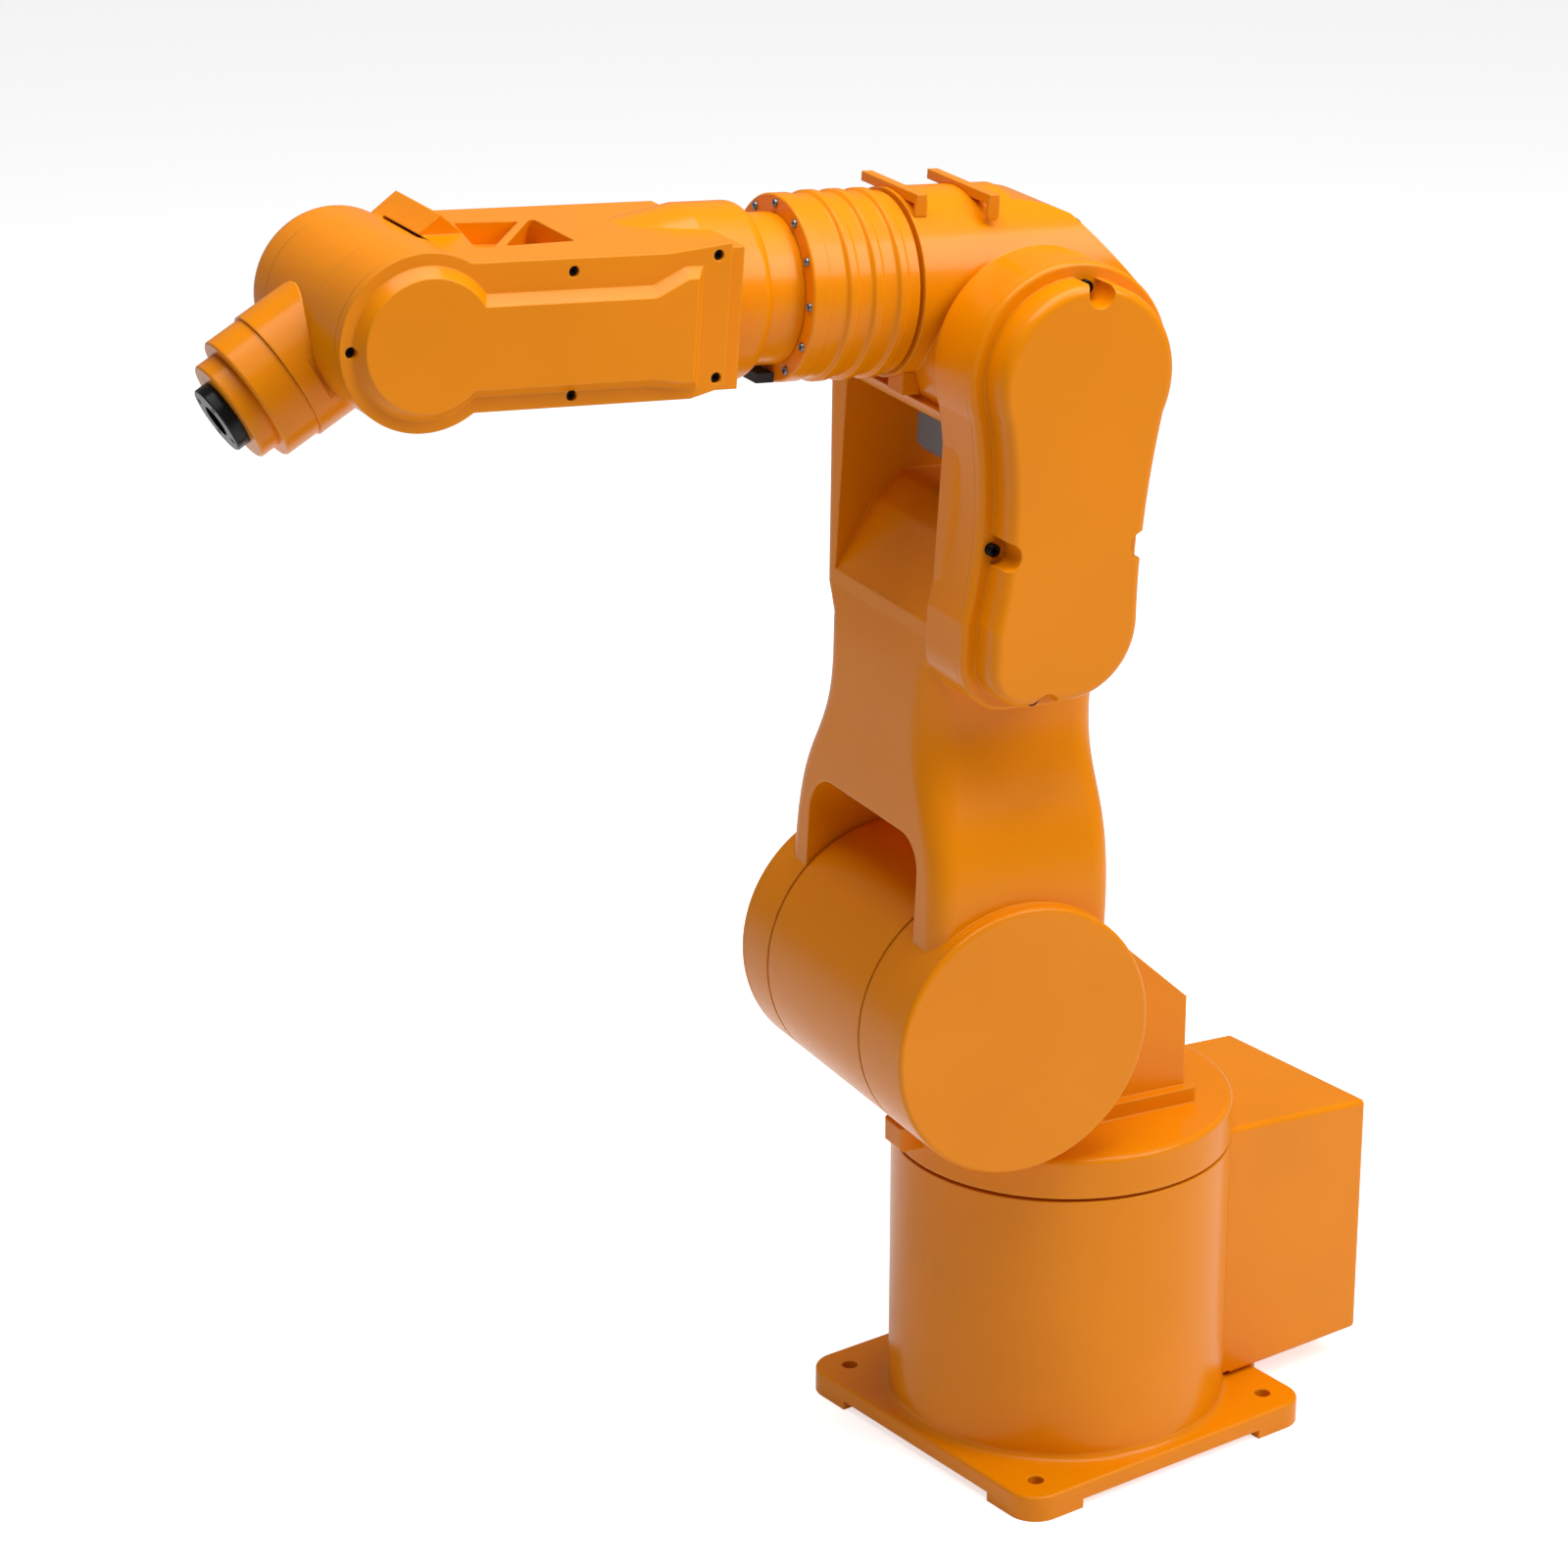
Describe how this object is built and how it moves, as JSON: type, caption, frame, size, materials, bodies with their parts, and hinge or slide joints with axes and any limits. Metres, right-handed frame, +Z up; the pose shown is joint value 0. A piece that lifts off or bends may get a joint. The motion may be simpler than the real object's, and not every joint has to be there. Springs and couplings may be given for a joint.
{
  "type": "industrial robot arm",
  "caption": "Six-axis articulated robot arm: round base with a connector housing, forked lower arm, ribbed elbow, slim forearm and a wrist with a bolt-on tool flange.",
  "frame": {"origin": "on the swing axis, at the underside of the base plate", "axes": "+X the way the arm points at zero swing, +Y to its left, +Z up along the swing axis"},
  "size_m": [0.8064, 0.2855, 0.8826],
  "materials": {
    "enamelled_casting": "gloss",
    "enamelled_cover": "gloss",
    "panel_sheet": "satin",
    "socket_metal": "satin",
    "motor_case": "matt",
    "black_steel": "satin black oxide",
    "seal_rubber": "matt"
  },
  "bodies": {
    "base": {"base_casting": "enamelled_casting", "rear_housing": "enamelled_casting", "rear_panel": "panel_sheet", "power_socket": "socket_metal", "signal_socket": "socket_metal"},
    "swivel": {"swivel_casting": "enamelled_casting", "swing_stop_dog": "enamelled_casting"},
    "lower_arm": {"lower_arm_casting": "enamelled_casting", "shoulder_cap_left": "enamelled_cover", "shoulder_cap_right": "enamelled_cover", "belt_cover": "enamelled_cover", "elbow_bearing_cover": "enamelled_cover"},
    "elbow": {"elbow_casting": "enamelled_casting", "elbow_rear_cover": "enamelled_cover", "elbow_motor": "motor_case", "roll_housing": "enamelled_casting", "roll_flange": "enamelled_casting", "cable_bracket_front": "enamelled_casting", "cable_bracket_rear": "enamelled_casting", "housing_lug": "enamelled_casting", "roll_stop_block": "motor_case"},
    "forearm": {"forearm_neck": "enamelled_casting", "forearm_casting": "enamelled_casting", "side_cover_left": "enamelled_cover", "side_cover_seal": "seal_rubber", "side_cover_right": "enamelled_cover"},
    "wrist": {"wrist_barrel": "enamelled_casting", "wrist_housing": "enamelled_casting", "wrist_outer_ring": "enamelled_casting", "wrist_inner_ring": "enamelled_casting"},
    "tool": {"tool_flange": "black_steel"}
  },
  "joints": [
    {"name": "swing", "type": "hinge", "parent": "base", "child": "swivel", "pos_m": [0, 0, 0.2068], "axis": [0, 0, 1], "range_deg": [-160.3, 179.7]},
    {"name": "shoulder", "type": "hinge", "parent": "swivel", "child": "lower_arm", "pos_m": [0.09167, -0.01567, 0.332], "axis": [0.1685, 0.9857, 0], "range_deg": [-62, 113]},
    {"name": "elbow", "type": "hinge", "parent": "lower_arm", "child": "elbow", "pos_m": [0.06928, -0.01184, 0.76541], "axis": [-0.1685, -0.9857, 0], "range_deg": [-60.9, 144.1]},
    {"name": "roll", "type": "hinge", "parent": "elbow", "child": "forearm", "pos_m": [0.21386, -0.03655, 0.81049], "axis": [0.9834, -0.1681, 0.068], "range_deg": [-180, 180]},
    {"name": "bend", "type": "hinge", "parent": "forearm", "child": "wrist", "pos_m": [0.47014, -0.08036, 0.82821], "axis": [0.1685, 0.9857, 0], "range_deg": [-78.3, 76.7]},
    {"name": "flange_turn", "type": "hinge", "parent": "wrist", "child": "tool", "pos_m": [0.56503, -0.09658, 0.77397], "axis": [0.8588, -0.1468, -0.4909], "range_deg": [-360, 360]}
  ]
}
